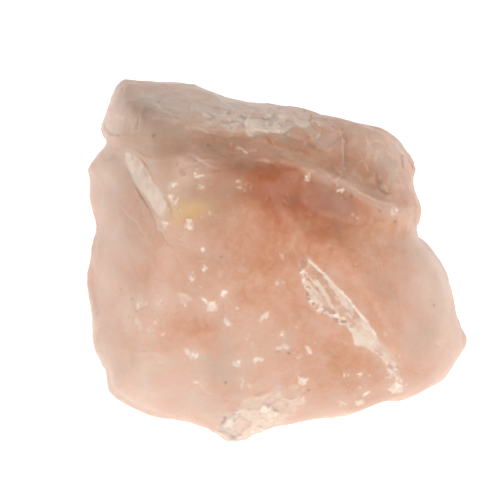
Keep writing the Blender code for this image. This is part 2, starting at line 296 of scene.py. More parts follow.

# Where the quartz is richer or, where the amount is negative, paler, in the form that SOFTER has. Richer
# is darker and more orange; the rows in the hollow under the ledge are partly painted shade.
RICHER = [
    (-1.5, 12.6, 8.0, 3.6, -16.0, 0.62),
    (4.0, 8.6, 5.0, 3.4, -20.0, 0.30),
    (11.5, 9.6, 7.0, 2.4, -24.0, 0.28),
    (19.5, 6.6, 4.0, 3.0, -20.0, 0.12),
    (-8.0, 12.0, 5.0, 2.8, -10.0, 0.55),
    (-5.5, 12.8, 3.6, 2.4, -10.0, 0.30),
    (-5.5, 16.2, 4.5, 1.7, -8.0, 0.28),
    (-11.0, 8.4, 6.0, 2.6, 0.0, 0.20),
    (1.0, 10.8, 4.0, 3.4, -16.0, 0.25),
    (7.4, 11.0, 4.6, 2.0, -24.0, 0.34),
    (10.5, 8.4, 5.0, 2.6, -24.0, 0.20),
    (7.6, 4.2, 4.5, 3.0, -20.0, 0.22),
    (10.0, 0.3, 6.0, 3.0, -20.0, 0.12),
    (0.6, 0.5, 2.6, 2.6, 0.0, 0.14),
    (-7.2, -7.0, 3.0, 3.4, 0.0, 0.10),
    (17.0, -20.0, 7.0, 4.0, 20.0, 0.15),
    (11.0, 15.5, 7.0, 3.0, -25.0, 0.22),
    (17.0, 13.8, 6.0, 4.0, -30.0, 0.20),
    (-3.0, 19.2, 6.0, 1.8, -10.0, 0.20),
    (-14.0, 19.5, 5.0, 2.0, -8.0, 0.15),
    (14.0, -1.5, 7.0, 6.0, -40.0, 0.10),
    (-16.0, -12.2, 5.0, 3.5, 0.0, 0.13),
    (9.0, -18.0, 8.0, 4.5, -10.0, 0.14),
    (-2.0, 2.0, 6.0, 7.0, 0.0, 0.13),
    (-8.0, 6.0, 6.0, 6.0, 0.0, 0.10),
    (5.0, -8.0, 6.0, 6.0, 0.0, 0.08),
    (-28.0, 6.0, 4.0, 14.0, 0.0, -0.25),
    (-22.0, -22.0, 10.0, 6.0, -20.0, -0.20),
    (27.0, -4.0, 5.0, 11.0, 20.0, -0.35),
    (-12.0, 25.5, 14.0, 3.4, -10.0, -0.27),
    (20.0, 17.0, 4.0, 7.0, 30.0, -0.10),
]
# Grey smudges, and grey painted shade along the lip and on a shaded facet at the top left, in the same
# form.
SMUDGES_AND_SHADE = [
    (-10.4, -18.0, 3.0, 2.4, 0.0, 0.60),
    (-8.6, -14.0, 1.4, 3.0, 10.0, 0.40),
    (24.0, -13.6, 2.2, 3.2, 20.0, 0.50),
    (-17.0, 18.0, 8.0, 6.0, -20.0, 0.30),
    (-26.0, 12.0, 4.0, 12.0, 0.0, 0.30),
    (-21.5, 23.5, 5.0, 2.6, -50.0, 0.55),
    (-3.0, 23.4, 9.0, 2.0, -10.0, 0.20),
    (-21.4, 12.0, 5.5, 1.2, -60.0, 0.45),
    (9.0, 13.2, 9.0, 1.1, -23.0, 0.45),
    (13.5, 11.0, 7.0, 1.0, -24.0, 0.40),
    (-10.0, 26.0, 14.0, 3.0, -8.0, 0.30),
    (2.0, -13.4, 1.6, 1.2, 0.0, 0.45),
    (-9.0, 10.0, 5.0, 4.0, -20.0, 0.20),
    (19.0, 9.6, 3.0, 1.6, -30.0, 0.40),
    (9.0, 10.0, 3.2, 1.4, -22.0, 0.10),
    (-9.0, 0.0, 3.0, 2.0, 0.0, 0.25),
]
# Painted brownish shade, mostly around the hollow and on the upper band and along the lip, partly a brown
# tint in the quartz, in the same form.
SHADES = [
    (-12.0, 18.0, 9.0, 2.6, -8.0, 0.50),
    (-10.0, 13.6, 5.0, 3.6, -10.0, 0.45),
    (-17.0, 15.5, 7.0, 4.0, -10.0, 0.38),
    (-11.0, 8.6, 6.5, 3.2, 0.0, 0.42),
    (12.0, 12.0, 10.0, 1.7, -24.0, 0.50),
    (-5.0, 16.4, 10.0, 1.6, -6.0, 0.36),
    (17.0, -22.0, 9.0, 4.5, 22.0, 0.26),
    (-14.0, 0.0, 3.5, 6.0, 0.0, 0.16),
    (-14.5, 9.4, 4.5, 2.8, 0.0, 0.28),
    (-22.0, 20.0, 5.0, 4.5, 0.0, 0.35),
    (-24.0, 22.5, 2.5, 4.5, -20.0, 0.25),
    (-23.4, 25.8, 3.6, 1.5, -50.0, 0.55),
    (10.0, 16.0, 8.0, 3.0, -25.0, 0.40),
    (18.0, 12.8, 5.5, 4.0, -30.0, 0.52),
    (10.0, 8.6, 4.0, 1.8, -20.0, 0.25),
    (-10.0, 2.0, 4.0, 5.0, 0.0, 0.12),
]
# Painted shadows in the slits of the hollow under the ledge, and brown blotches on the face, in the same
# form.
SHADOWS_AND_BLOTCHES = [
    (9.4, 9.6, 3.0, 1.4, -22.0, 0.22),
    (2.2, 10.0, 0.7, 1.6, -15.0, 0.35),
    (9.2, 5.6, 0.9, 1.9, 20.0, 0.35),
    (-6.0, 15.6, 2.6, 0.5, -6.0, 0.30),
    (-23.0, 24.0, 0.5, 1.5, 0.0, 0.30),
    (12.0, -8.0, 0.7, 0.8, 0.0, 0.18),
    (-14.6, -10.0, 0.4, 1.2, 0.0, 0.15),
]
# Yellow stains, most of them by the leaf's lower end, in the same form.
STAINS = [
    (-15.4, 8.2, 2.3, 1.6, -20.0, 0.68),
    (-12.6, 8.6, 1.8, 1.4, 0.0, 0.34),
    (-10.4, 9.6, 3.0, 2.0, 0.0, 0.12),
    (-17.0, 6.6, 1.2, 1.2, 0.0, 0.30),
    (-7.0, 12.6, 3.0, 1.4, 0.0, 0.14),
    (10.4, -8.8, 0.6, 0.4, 0.0, 0.60),
]
# Dark specks, as (u, v, reach).
SPECKS = [
    (-20.4, 20.4, 0.25), (-11.3, 18.8, 0.22), (-9.3, 0.6, 0.22), (12.4, 10.4, 0.3), (20.0, 6.4, 0.22),
    (17.2, 8.2, 0.2), (26.6, -7.6, 0.18), (5.4, -21.6, 0.25), (-8.6, -20.4, 0.22), (2.0, -15.4, 0.25),
]

# The quartz's colours from thin to thick, and the colours that are laid over them.
QUARTZ_STOPS = [
    (0.0, (0.74, 0.60, 0.51, 1.0)),
    (0.24, (0.73, 0.54, 0.43, 1.0)),
    (0.48, (0.67, 0.413, 0.300, 1.0)),
    (0.66, (0.605, 0.305, 0.180, 1.0)),
    (0.82, (0.52, 0.195, 0.083, 1.0)),
    (1.0, (0.41, 0.115, 0.035, 1.0)),
]
HAZE = (0.63, 0.49, 0.42, 1.0)
BLUSH = (0.70, 0.42, 0.34, 1.0)
# The grey of the smudges, also used as painted shade.
SMUDGE_AND_SHADE = (0.55, 0.43, 0.35, 1.0)
# SHADE is the colour of the painted brownish shade.
SHADE = (0.43, 0.25, 0.165, 1.0)
STAIN = (0.66, 0.44, 0.19, 1.0)
FROST = (0.80, 0.65, 0.53, 1.0)
# GLINT is the colour of the painted highlights laid where the bright mask is.
GLINT = (0.97, 0.86, 0.78, 1.0)
# The pale colour of the worn edges, which also serves as a painted edge highlight.
WORN_AND_HIGHLIT = (0.80, 0.64, 0.54, 1.0)
DARK = (0.22, 0.13, 0.09, 1.0)
WHITE = (1.0, 1.0, 1.0, 1.0)

# The floor and the lights, in metres and watts. The floor glows a little, so that it stays pale.
FLOOR_REACH = 3.0
FLOOR_COLOUR = (0.93, 0.93, 0.93, 1.0)
FLOOR_GLOW = 0.50
SURROUND = 0.50
LIGHT_AIM = (0.0, 0.0, 0.02)

# The camera's lens and sensor, the width that it sees and the (u, v) that it looks at, in millimetres.
LENS = 120.0
SENSOR = 36.0
SEEN_WIDTH = 86.0
AIM = (-4.6, 3.26)


def face_frame(points):
    """World points in metres as (u, v, w) in the face's frame, in millimetres."""
    x, y, z = points.T / MM
    z = z - FACE_START
    v = y * math.cos(LEAN) + z * math.sin(LEAN)
    w = z * math.cos(LEAN) - y * math.sin(LEAN)
    return x, v, w


def smooth_step(x):
    """0 up to 0, 1 from 1 on, and a smooth rise between."""
    x = np.clip(x, 0.0, 1.0)
    return x * x * (3.0 - 2.0 * x)


def noisy(points, wavelengths, kind=noise.noise):
    """Smooth repeatable noise at each point, with a wavelength in millimetres along each axis."""
    scaled = points / np.array(wavelengths)
    return np.array([kind(Vector(p)) for p in scaled])


def cells(points, wavelengths):
    """Cells of about this size, as three values for each point.

    The bowl is 0 in a cell's middle and about 1 on the ridges around it, the ridge is 0 on them and grows
    away from them, and the tone is one number from -1 to 1 for each cell.
    """
    found = [noise.voronoi(Vector(p)) for p in points / np.array(wavelengths)]
    nearest = np.array([distances[0] for distances, _ in found])
    second = np.array([distances[1] for distances, _ in found])
    tone = np.array([noise.noise(middles[0] * 7.3) for _, middles in found])
    bowl = np.minimum(nearest * nearest * 2.0, 1.5)
    ridge = second - nearest
    return bowl, ridge, np.clip(tone * 2.2, -1.0, 1.0)


def ellipse(u, v, centre_u, centre_v, along, across, turn):
    """Squared distance from an ellipse's centre, 1 on its outline."""
    turn = math.radians(turn)
    du, dv = u - centre_u, v - centre_v
    a = (du * math.cos(turn) + dv * math.sin(turn)) / along
    b = (dv * math.cos(turn) - du * math.sin(turn)) / across
    return a * a + b * b


def blobs(u, v, rows):
    """The sum of soft elliptical blobs, one for each row."""
    total = np.zeros(len(u))
    for centre_u, centre_v, along, across, turn, amount in rows:
        total += amount * np.exp(-ellipse(u, v, centre_u, centre_v, along, across, turn))
    return total


def along_line(start, end, u, v):
    """Distance down a line from its start, and to the side on the left of its way, with its length."""
    du, dv = end[0] - start[0], end[1] - start[1]
    length = math.hypot(du, dv)
    du, dv = du / length, dv / length
    down = (u - start[0]) * du + (v - start[1]) * dv
    side = (v - start[1]) * du - (u - start[0]) * dv
    return down, side, length


def beside(points, u, v):
    """Distance to the left of a bent line, and a taper that is 1 in its middle and 0 at its ends."""
    nearest = np.full(len(u), np.inf)
    side = np.zeros(len(u))
    run = np.zeros(len(u))
    passed = 0.0
    for start, end in zip(points[:-1], points[1:]):
        down, left, length = along_line(start, end, u, v)
        over = down - np.clip(down, 0.0, length)
        distance = np.hypot(over, left)
        closer = distance < nearest
        nearest = np.where(closer, distance, nearest)
        side = np.where(closer, np.where(left < 0.0, -distance, distance), side)
        run = np.where(closer, passed + np.clip(down, 0.0, length), run)
        passed += length
    share = run / passed
    return side, np.sqrt(np.clip(4.0 * share * (1.0 - share), 0.0, 1.0))


def fine_mesh(source):
    """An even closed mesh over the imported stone, with a finer grid on the broad face."""
    copy = bpy.data.objects.new("even_copy", source.data.copy())
    bpy.context.scene.collection.objects.link(copy)
    even = copy.modifiers.new("even_grid", "REMESH")
    even.mode = "VOXEL"
    even.voxel_size = GRID * MM
    smoother = copy.modifiers.new("even_out", "SMOOTH")
    smoother.factor = EVEN_FACTOR
    smoother.iterations = EVEN_OUT
    shown = copy.evaluated_get(bpy.context.evaluated_depsgraph_get())
    shape = bmesh.new()
    shape.from_mesh(shown.to_mesh())
    bpy.data.objects.remove(copy, do_unlink=True)

    places = np.array([vertex.co for vertex in shape.verts])
    w = face_frame(places)[2]
    facing = np.array([vertex.normal for vertex in shape.verts]) @ np.array(OUT_OF_FACE)
    on_face = (w > FINE_LEVEL) & (facing > FACING)
    edges = [edge for edge in shape.edges if all(on_face[vertex.index] for vertex in edge.verts)]
    bmesh.ops.subdivide_edges(shape, edges=edges, cuts=CUTS_ON_FACE, use_grid_fill=True)
    bmesh.ops.triangulate(shape, faces=shape.faces)
    mesh = bpy.data.meshes.new("quartz_stone")
    shape.to_mesh(mesh)
    shape.free()
    return mesh


def mesh_arrays(mesh):
    """The mesh's points and normals, as arrays."""
    count = len(mesh.vertices)
    points = np.empty(count * 3)
    mesh.vertices.foreach_get("co", points)
    normals = np.empty(count * 3)
    mesh.vertex_normals.foreach_get("vector", normals)
    return points.reshape(-1, 3), normals.reshape(-1, 3)


def mesh_edges(mesh):
    edges = np.empty(len(mesh.edges) * 2, dtype=int)
    mesh.edges.foreach_get("vertices", edges)
    return edges.reshape(-1, 2)


def averaged(values, edges, rounds):
    """Each value moved to the average of its neighbours', again and again."""
    count = len(values)
    ends, others = edges.ravel(), edges[:, ::-1].ravel()
    neighbours = np.bincount(ends, minlength=count)
    for _ in range(rounds):
        columns = [np.bincount(ends, weights=column[others], minlength=count)
                   for column in np.atleast_2d(values.T)]
        values = (np.array(columns) / neighbours).T.reshape(values.shape)
    return values


class Skin:
    """The fine mesh's points in the face's frame, and what is being done to them.

    push is each point's way out of the stone in millimetres. frost, bright and dark run from 0 to 1, and
    richness is added to what the thickness gives. front is 1 on the broad face and the band above it, and
    0 on the back. rough, ragged and warp are noise of growing wavelengths.
    """

    def __init__(self, mesh):
        self.mesh = mesh
        self.points, self.normals = mesh_arrays(mesh)
        self.edges = mesh_edges(mesh)
        self.u, self.v, self.w = face_frame(self.points)
        self.places = np.column_stack([self.u, self.v, self.w])
        facing = self.normals @ np.array(OUT_OF_FACE)
        self.front = smooth_step((facing - 0.05) / 0.3) * smooth_step((self.w + 1.0) / 3.0)
        self.push = np.zeros(len(self.u))
        self.frost = np.zeros(len(self.u))
        self.bright = np.zeros(len(self.u))
        self.dark = np.zeros(len(self.u))
        self.richness = np.zeros(len(self.u))
        self.rough = noisy(self.places, (ROUGH_WAVE,) * 3)
        self.ragged = noisy(self.places + 50.0, (RAGGED_WAVE,) * 3)
        self.warp = np.column_stack([noisy(self.places + 31.0, (WARP_WAVE,) * 3),
                                     noisy(self.places - 17.0, (WARP_WAVE,) * 3)])

    def whiten(self, amount):
        self.frost = np.maximum(self.frost, np.clip(amount, 0.0, 1.0))

    # Paints a glint into the colour: a painted highlight.
    def glint(self, amount):
        self.bright = np.maximum(self.bright, np.clip(amount, 0.0, 1.0))

    def darken(self, amount):
        self.dark = np.maximum(self.dark, np.clip(amount, 0.0, 1.0))


def soften(skin):
    """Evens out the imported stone's flat facets on the broad face, and more in the listed places."""
    for rounds, all_over, places in ((SOFTENING, FACE_SOFTENING, SOFTER), (DEEP_SOFTENING, 0.0, SOFTEST)):
        even = averaged(skin.points, skin.edges, rounds)
        amount = skin.front * (all_over + blobs(skin.u, skin.v, places))
        skin.points += (even - skin.points) * np.clip(amount, 0.0, 1.0)[:, None]
    skin.mesh.vertices.foreach_set("co", skin.points.ravel())
    skin.mesh.update()
    skin.points, skin.normals = mesh_arrays(skin.mesh)


def waves(skin):
    """Broad waves everywhere, and shell-shaped bowls with whitened ridges on the back and the sides."""
    for height, wavelength in WAVES:
        skin.push += height * noisy(skin.places, (wavelength,) * 3)
    skin.push += blobs(skin.u, skin.v, SWELLINGS)
    bent = skin.places + 2.0 * np.column_stack([skin.warp, skin.warp[:, 0]])
    bowls, ridges, tones = cells(bent, BACK_CELLS)
    small_bowls, small_ridges, small_tones = cells(bent + 9.0, BACK_SMALL_CELLS)
    patchy = smooth_step(noisy(skin.places - 40.0, (11, 11, 11)) * 1.6 + 0.5)
    back = 1.0 - skin.front
    skin.push += back * (0.55 * (bowls - 0.5) + 0.28 * patchy * (small_bowls - 0.5))
    skin.push += skin.front * 0.08 * (bowls - 0.5)
    broken = smooth_step(skin.ragged * 1.5 + 0.5)
    skin.whiten(back * 0.75 * smooth_step(1.0 - ridges / 0.13) * broken)
    skin.whiten(back * 0.70 * patchy * smooth_step(1.0 - small_ridges / 0.30) * broken)
    skin.whiten(back * 0.45 * patchy * smooth_step((small_tones - 0.35) / 0.3))
    skin.richness += back * (0.10 * tones + 0.05 * small_tones * patchy) + skin.front * 0.03 * tones


def upper_band(skin):
    """Flat facets along the band, a frosted crust above its crest, and folds near its right end."""
    u, v, w = skin.u, skin.v, skin.w
    ledge_v = np.interp(u, *zip(*LEDGE))
    band = skin.front * smooth_step((v - ledge_v) / 1.2 + 0.5)
    # Broken cells of three sizes, drawn out along the band.
    bent = np.column_stack([u + skin.warp[:, 0] * 2.4, v + 0.22 * u + skin.warp[:, 1] * 1.4, w * 0.3])
    facets, _, facet_tones = cells(bent + 21.0, BAND_CELLS)
    scallops, scallop_ridges, scallop_tones = cells(bent, SCALLOPS)
    flakes, flake_ridges, flake_tones = cells(bent + 5.0 + 0.4 * skin.rough[:, None], FLAKES)
    crest_v = np.interp(u, *zip(*CREST))
    above = smooth_step((v - crest_v + 0.5 * skin.ragged) / 0.5)
    crust = band * above * np.exp(-ellipse(u, v, *CRUST) ** 1.5)
    folded = np.exp(-ellipse(u, v, *FOLDS))
    broken = smooth_step(skin.ragged * 1.6 + 0.5)
    skin.push += band * (0.10 * (facets - 0.5) + 0.18 * facet_tones)
    skin.push += crust * (0.30 * (scallops - 0.5) + 0.15 * (flakes - 0.5))
    skin.push += band * (folded * 0.18 + 0.08) * (scallops - 0.5)
    skin.richness += band * (0.15 * facet_tones + 0.09 * scallop_tones * (0.4 + crust))
    skin.whiten(crust * 0.80 * smooth_step(1.0 - flake_ridges / 0.16) * broken)
    skin.whiten(crust * 0.70 * smooth_step(1.0 - scallop_ridges / 0.08) * (0.4 + 0.6 * broken))
    skin.whiten(band * folded * 0.45 * smooth_step(1.0 - scallop_ridges / 0.08) * broken)
    skin.whiten(crust * (0.58 + 0.36 * flake_tones))
    skin.glint(crust * 0.9 * smooth_step(1.0 - flake_ridges / 0.12) * smooth_step(skin.ragged * 2.0))
    skin.darken(crust * 0.25 * smooth_step((flake_tones * -1.0 - 0.45) / 0.3) * broken)


def ledge(skin):
    """The ledge's edge stands out a little and is undercut, and the quartz under it is painted richer and
    darker: partly its colour, partly painted shade under the ledge.
    """
    off_edge = (skin.v - np.interp(skin.u, *zip(*LEDGE)) + 0.5 * skin.ragged) / LEDGE_EDGE
    along = smooth_step((skin.u - LEDGE_FROM) / 6.0) * smooth_step((LEDGE_TO - skin.u) / 3.0)
    skin.push += skin.front * along * LEDGE_HEIGHT * off_edge * np.exp(-0.5 * off_edge**2)
    left = smooth_step((15.0 - skin.u) / 8.0)
    # Painted shade under the ledge, laid as richer, darker quartz.
    skin.richness += skin.front * along * left * 0.45 * np.exp(-(((off_edge + 1.9) / 1.3) ** 2))


def splinter_scar(skin):
    """The long scar: streaked and frosted, roughest at its left, with a sharp rim at its right."""
    down, right, length = along_line(SCAR_START, SCAR_END, skin.u, skin.v)
    left_edge = np.interp(down, *zip(*SCAR_LEFT)) + 0.5 * skin.ragged
    right_edge = np.interp(down, *zip(*SCAR_RIGHT)) + 0.15 * skin.ragged
    inside = smooth_step((right - left_edge) / 0.4 + 0.5)
    inside *= smooth_step((right_edge - right) / 0.25 + 0.5)
    inside *= smooth_step(down / 0.8 + 0.5) * smooth_step((length - down) / 2.5 + 0.5) * skin.front
    streaks = noisy(np.column_stack([down, right, skin.w * 0.2]), SCAR_STREAKS)
    bowls, _, tones = cells(skin.places, SCAR_CELLS)
    crumbs, _, crumb_tones = cells(skin.places + 4.0, SCAR_CRUMBS)
    share = np.clip((right - left_edge) / np.maximum(right_edge - left_edge, 0.3), 0.0, 1.0)
    skin.push -= inside * (SCAR_DEPTH * (0.4 + 0.45 * share) + 0.16 * streaks)
    skin.push += inside * (1.0 - share) * (0.35 * (bowls - 0.5) + 0.15 * (crumbs - 0.5))
    # The scar's parts: a crumbled shell at its left, a streaked inner face, a white lower part, a tail.
    lower = smooth_step((down - SCAR_WHITE_FROM) / 3.0) * smooth_step((SCAR_WHITE_TO - down) / 2.0)
    shell = smooth_step((0.42 - share) / 0.2) * (1.0 - lower)
    inner = (1.0 - shell) * (1.0 - lower)
    white = shell * (0.60 + 0.35 * crumb_tones + 0.2 * tones)
    white += lower * (0.85 + 0.20 * tones - 0.25 * share)
    white += inner * (0.28 + 0.55 * smooth_step((streaks - 0.08) / 0.2) + 0.2 * crumb_tones)
    tail = smooth_step((down - SCAR_TAIL_FROM) / 2.0)
    white = white * (1.0 - tail) + tail * (0.60 + 0.5 * skin.ragged)
    skin.whiten(inside * white)
    skin.glint(inside * shell * smooth_step((crumb_tones - 0.35) / 0.2) * smooth_step(tones + 0.3))
    skin.darken(inside * shell * 0.40 * smooth_step((-crumb_tones - 0.30) / 0.3))
    skin.darken(inside * inner * 0.10 * smooth_step((-streaks - 0.12) / 0.2))
    rim = np.exp(-(((right - right_edge) / 0.26) ** 2)) * smooth_step((down - 0.3) / 1.0)
    rim *= smooth_step((SCAR_TAIL_FROM - down) / 3.0) * skin.front
    skin.push += rim * SCAR_RIM
    skin.whiten((0.80 + 0.3 * skin.ragged) * rim)
    skin.glint((0.55 + 0.8 * skin.rough) * rim)


def pale_leaf(skin):
    """The flat pale facet beside the left edge: pale frost, partly painted light on a facet that faces
    the light.
    """
    down, right, length = along_line(LEAF_START, LEAF_END, skin.u, skin.v)
    left_edge = np.interp(down, *zip(*LEAF_LEFT)) + 0.3 * skin.ragged
    right_edge = np.interp(down, *zip(*LEAF_RIGHT)) + 0.3 * skin.ragged + 0.1 * skin.rough
    inside = smooth_step((right - left_edge) / 0.6 + 0.4)
    inside *= smooth_step((right_edge - right) / 0.25 + 0.5)
    inside *= smooth_step(down / 0.8 + 0.5) * smooth_step((length - down) / 3.0) * skin.front
    share = np.clip((right - left_edge) / np.maximum(right_edge - left_edge, 0.3), 0.0, 1.0)
    skin.push -= inside * LEAF_DEPTH * share
    # Pale frost, partly painted light on the facet.
    skin.whiten(inside * (0.64 + 0.30 * skin.warp[:, 0] + 0.30 * skin.ragged - 0.20 * share))
    skin.richness -= 0.20 * inside


def broken_corner(skin):
    """The rough frosted facets at the lowest corner of the face."""
    off = ellipse(skin.u, skin.v, *CORNER) + 0.5 * skin.ragged
    corner = smooth_step((1.25 - off) / 0.5) * smooth_step(skin.front * 2.0)
    bowls, ridges, tones = cells(skin.places + 3.0 + 0.5 * skin.rough[:, None], CORNER_CELLS)
    crumbs, _, crumb_tones = cells(skin.places - 8.0, CORNER_CRUMBS)
    skin.push += corner * (0.5 * (bowls - 0.5) + 0.35 * tones + 0.10 * (crumbs - 0.5))
    skin.whiten(corner * (0.42 + 0.38 * tones + 0.14 * crumb_tones))
    skin.glint(corner * 0.5 * smooth_step((tones + 0.3 * crumb_tones - 0.55) / 0.3))
    skin.richness -= 0.2 * corner
    skin.darken(corner * 0.30 * smooth_step(1.0 - ridges / 0.16) * smooth_step(skin.ragged * 2.0 + 0.2))


def chip(skin, rng, near, along, across, depth, white):
    """A shallow angular flake scar at the points near it, in flat facets with their own frost."""
    a = along + 0.14 * skin.ragged[near] + 0.10 * skin.rough[near]
    b = across + 0.14 * skin.ragged[near] - 0.10 * skin.rough[near]
    turns = rng.uniform(0.0, 2.0) + np.arange(CHIP_SIDES) * (2.0 * math.pi / CHIP_SIDES)
    turns += rng.uniform(-0.4, 0.4, CHIP_SIDES)
    reaches = rng.uniform(0.55, 1.0, CHIP_SIDES)
    to_sides = (np.outer(a, np.cos(turns)) + np.outer(b, np.sin(turns))) / reaches
    off = to_sides.max(axis=1)
    tones = rng.uniform(0.30, 1.0, CHIP_SIDES)[to_sides.argmax(axis=1)]
    inside = smooth_step((1.0 - off) / 0.45)
    skin.push[near] -= depth * inside * (0.35 + 0.65 * tones)
    skin.frost[near] = np.maximum(skin.frost[near], white * inside * (0.25 + 0.75 * tones))
    # The palest facets carry a painted glint.
    glint = 0.9 * inside * smooth_step((white * tones - 0.82) / 0.15)
    skin.bright[near] = np.maximum(skin.bright[near], glint)


def face_chips(skin):
    """The listed chips, each in a pale halo, with a few splinters around it and a small glint in it."""
    rng = np.random.default_rng(CHIP_SEED)
    for centre_u, centre_v, along, across, turn, depth, white in CHIPS:
        flakes = [(centre_u, centre_v, along * CHIP_LONGER, across * CHIP_WIDER, turn,
                   depth * CHIP_SHALLOWER, white)]
        for _ in range(SPLINTERS):
            off_u, off_v = rng.normal(0.0, 0.5 + along, 2)
            size = rng.uniform(0.25, 0.55)
            flakes.append((centre_u + off_u, centre_v + off_v, size, size * rng.uniform(0.35, 0.8),
                           rng.uniform(0.0, 180.0), SPLINTER_DEPTH, white * rng.uniform(0.3, 1.0)))
        halo_reach = 1.0 + 1.4 * along
        halo = np.exp(-((skin.u - centre_u) ** 2 + (skin.v - centre_v) ** 2) / halo_reach**2)
        skin.richness -= 0.10 * white * halo * skin.front
        for place_u, place_v, long, wide, angle, deep, pale in flakes:
            du, dv = skin.u - place_u, skin.v - place_v
            near = (np.hypot(du, dv) < 2.0 * long) & (skin.front > 0.3)
            turned = math.radians(angle)
            a = (du[near] * math.cos(turned) + dv[near] * math.sin(turned)) / long
            b = (dv[near] * math.cos(turned) - du[near] * math.sin(turned)) / wide
            chip(skin, rng, near, a, b, deep, pale)
        # A small painted glint in the chip.
        off_u, off_v = rng.normal(0.0, 0.1 + 0.3 * along, 2)
        long = rng.uniform(0.25, 0.50)
        wide = rng.uniform(0.12, 0.22)
        angle = rng.uniform(0.0, 180.0)
        spot = ellipse(skin.u, skin.v, centre_u + off_u, centre_v + off_v, long, wide, angle)
        skin.glint(0.9 * smooth_step((white - 0.45) / 0.4) * np.exp(-spot) * skin.front)


def strewn_chips(skin):
    """Chips strewn all over the stone, smaller on the broad face."""
    rng = np.random.default_rng(STREWN_SEED)
    middle = skin.points.mean(axis=0)
    rays = (skin.points - middle) / MM
    lengths = np.linalg.norm(rays, axis=1)
    rays /= lengths[:, None]
    for _ in range(STREWN_CHIPS):
        direction = rng.normal(size=3)
        direction /= np.linalg.norm(direction)
        reach = rng.uniform(0.7, 2.4)
        stretch = rng.uniform(0.35, 0.9)
        white = rng.uniform(0.2, 0.9)
        sideways = np.cross(direction, rng.normal(size=3))
        sideways /= np.linalg.norm(sideways)
        other = np.cross(direction, sideways)
        off = (rays - direction) * lengths[:, None]
        near = np.linalg.norm(off, axis=1) < 2.0 * reach
        if not near.any():
            continue
        share = 1.0 - 0.72 * skin.front[near].mean()
        a = off[near] @ sideways / (reach * share)
        b = off[near] @ other / (reach * share * stretch)
        chip(skin, rng, near, a, b, 0.25 * reach * share, white * share)


def fracture_steps(skin):
    """Small ragged steps that drop to one side, with a broken white edge and painted shadow below some of
    them.
    """
    u = skin.u + 0.5 * skin.ragged
    v = skin.v + 0.5 * skin.ragged + 0.25 * skin.rough
    for points, drop, white, dark in STEPS:
        side, taper = beside(points, u, v)
        side = -side if drop > 0.0 else side
        below = smooth_step(side / STEP_WIDTH + 0.5) * np.exp(-np.maximum(side, 0.0) / STEP_REACH)
        above = (1.0 - smooth_step(side / STEP_WIDTH + 0.5)) * np.exp(np.minimum(side, 0.0) / STEP_REACH)
        shape = taper * skin.front
        skin.push += STEP_SHARE * abs(drop) * shape * (0.25 * above - 0.75 * below)
        broken = 0.25 + 0.75 * smooth_step(skin.warp[:, 0] * 2.0 + 0.5 + 0.5 * skin.rough)
        skin.whiten(white * shape * broken * np.exp(-(((side + 0.05) / 0.20) ** 2)))
        # Painted shadow just below the step's edge.
        skin.darken(dark * shape * np.exp(-(((side - 0.45) / 0.35) ** 2)))


def creases(skin):
    """Thin cracks, darkened by their own dark line and painted shade, broken up along their way."""
    for points, half_width, depth, darkness in CREASES:
        side, taper = beside(points, skin.u + 0.3 * skin.ragged, skin.v + 0.3 * skin.rough)
        wide = half_width * (0.7 + 0.6 * skin.ragged)
        line = np.exp(-((side / np.maximum(wide, 0.12)) ** 2)) * taper * skin.front
        line *= 0.25 + 0.75 * smooth_step(skin.warp[:, 1] * 2.5 + 0.5 + 0.6 * skin.rough)
        skin.push -= depth * line
        # The crack's dark line, with painted shade in it.
        skin.darken(darkness * line)


def specks(skin):
    for centre_u, centre_v, reach in SPECKS:
        spot = np.exp(-((skin.u - centre_u) ** 2 + (skin.v - centre_v) ** 2) / reach**2) * skin.front
        skin.darken(0.7 * spot)


def press(skin):
    """Moves the points by their push, except on the flat base, and fits them to the stone's box."""
    off_base = smooth_step((skin.points[:, 2] / MM - 0.3) / 1.2)
    points = skin.points + skin.normals * (skin.push * off_base * MM)[:, None]
    points[:, 2] = np.maximum(points[:, 2], 0.0)
    low, high = (np.array(corner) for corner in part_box(NODE))
    points = low + (points - points.min(axis=0)) * (high - low) / np.ptp(points, axis=0)
    skin.mesh.vertices.foreach_set("co", points.ravel())
    skin.mesh.update()
    skin.points, skin.normals = mesh_arrays(skin.mesh)


def worn_and_highlit_edges(skin):
    """1 on the sharp edges, which are worn white and carry a painted highlight, and 0 off them."""
    count = len(skin.u)
    ends = skin.points[skin.edges] / MM
    lengths = np.linalg.norm(ends[:, 0] - ends[:, 1], axis=1)
    spacing = np.bincount(skin.edges.ravel(), weights=np.repeat(lengths, 2), minlength=count)
    spacing /= np.bincount(skin.edges.ravel(), minlength=count)
    bend = ((skin.points - averaged(skin.points, skin.edges, 1)) * skin.normals).sum(axis=1) / MM
    bend = averaged(bend / spacing**2, skin.edges, 1)
    return smooth_step((bend - 0.15) / 0.6)


def quartz_behind(skin):
    """How much quartz lies behind each point, in millimetres: the mean of its two shortest ways out."""
    corners = np.empty(len(skin.mesh.loops), dtype=int)
    skin.mesh.loops.foreach_get("vertex_index", corners)
    tree = BVHTree.FromPolygons([Vector(p) for p in skin.points], corners.reshape(-1, 3).tolist())
    sideways = np.cross(skin.normals, (0.31, 0.87, 0.38))
    sideways /= np.linalg.norm(sideways, axis=1)[:, None]
    other = np.cross(skin.normals, sideways)
    ways_out = []
    for lean in (WAY_LEAN * sideways, -WAY_LEAN * sideways, WAY_LEAN * other, -WAY_LEAN * other):
        inward = lean - skin.normals
        inward /= np.linalg.norm(inward, axis=1)[:, None]
        starts = skin.points - skin.normals * START_INSIDE * MM
        hits = (tree.ray_cast(Vector(p), Vector(way))[3] for p, way in zip(starts, inward))
        ways_out.append([distance / MM if distance else MOST_QUARTZ for distance in hits])
    shortest = np.sort(np.minimum(ways_out, MOST_QUARTZ), axis=0)
    return averaged(shortest[:2].mean(axis=0), skin.edges, THICKNESS_SOFTENING)


